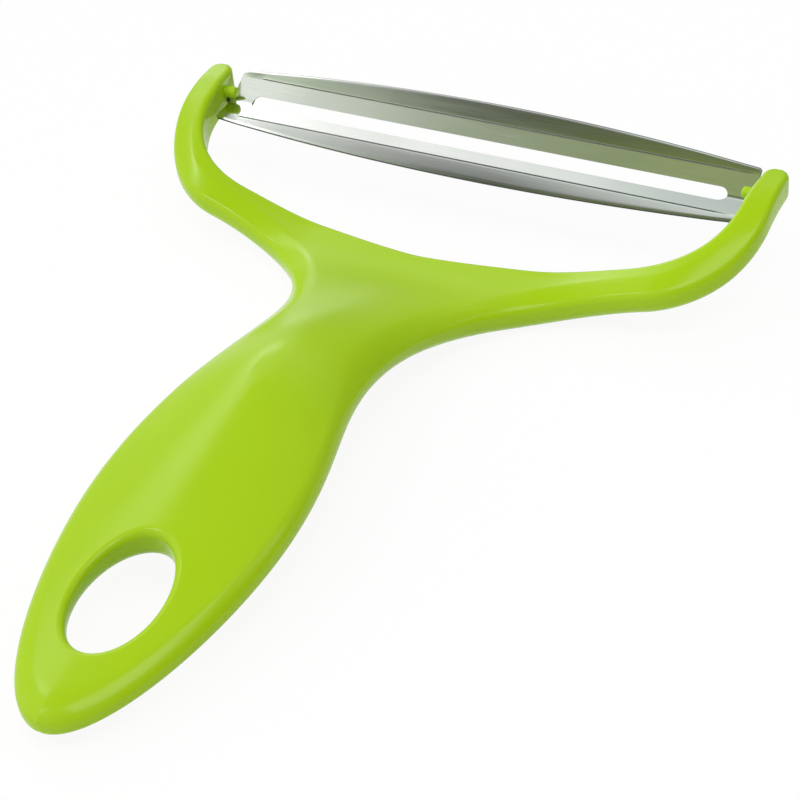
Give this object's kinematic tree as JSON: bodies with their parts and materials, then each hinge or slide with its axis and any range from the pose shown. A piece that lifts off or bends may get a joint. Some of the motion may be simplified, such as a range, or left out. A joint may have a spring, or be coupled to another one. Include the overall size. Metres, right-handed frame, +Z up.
{
  "type": "vegetable peeler",
  "caption": "Wide Y-shaped vegetable peeler: a one-piece moulded handle with a hanging hole and a forked yoke that carries a slotted, folded steel blade free to swivel between the arm ends.",
  "frame": {"origin": "bottom centre of the bounding box, under the peeler as it lies on a table", "axes": "+X along the blade, +Y from the grip's tip towards the blade, +Z up out of the face that carries the stop pegs"},
  "size_m": [0.124, 0.164, 0.0196],
  "materials": {
    "lime_plastic": "glossy injection-moulded lime green plastic",
    "stainless_steel": "fine-ground stainless sheet with a bright ground cutting edge"
  },
  "bodies": {
    "handle": {"handle_frame": "lime_plastic"},
    "blade": {"blade": "stainless_steel"}
  },
  "joints": [
    {"name": "blade_swivel", "type": "hinge", "parent": "handle", "child": "blade", "pos_m": [0, 0.07268, 0.01337], "axis": [1, 0, 0], "range_deg": [-26, 26]}
  ]
}
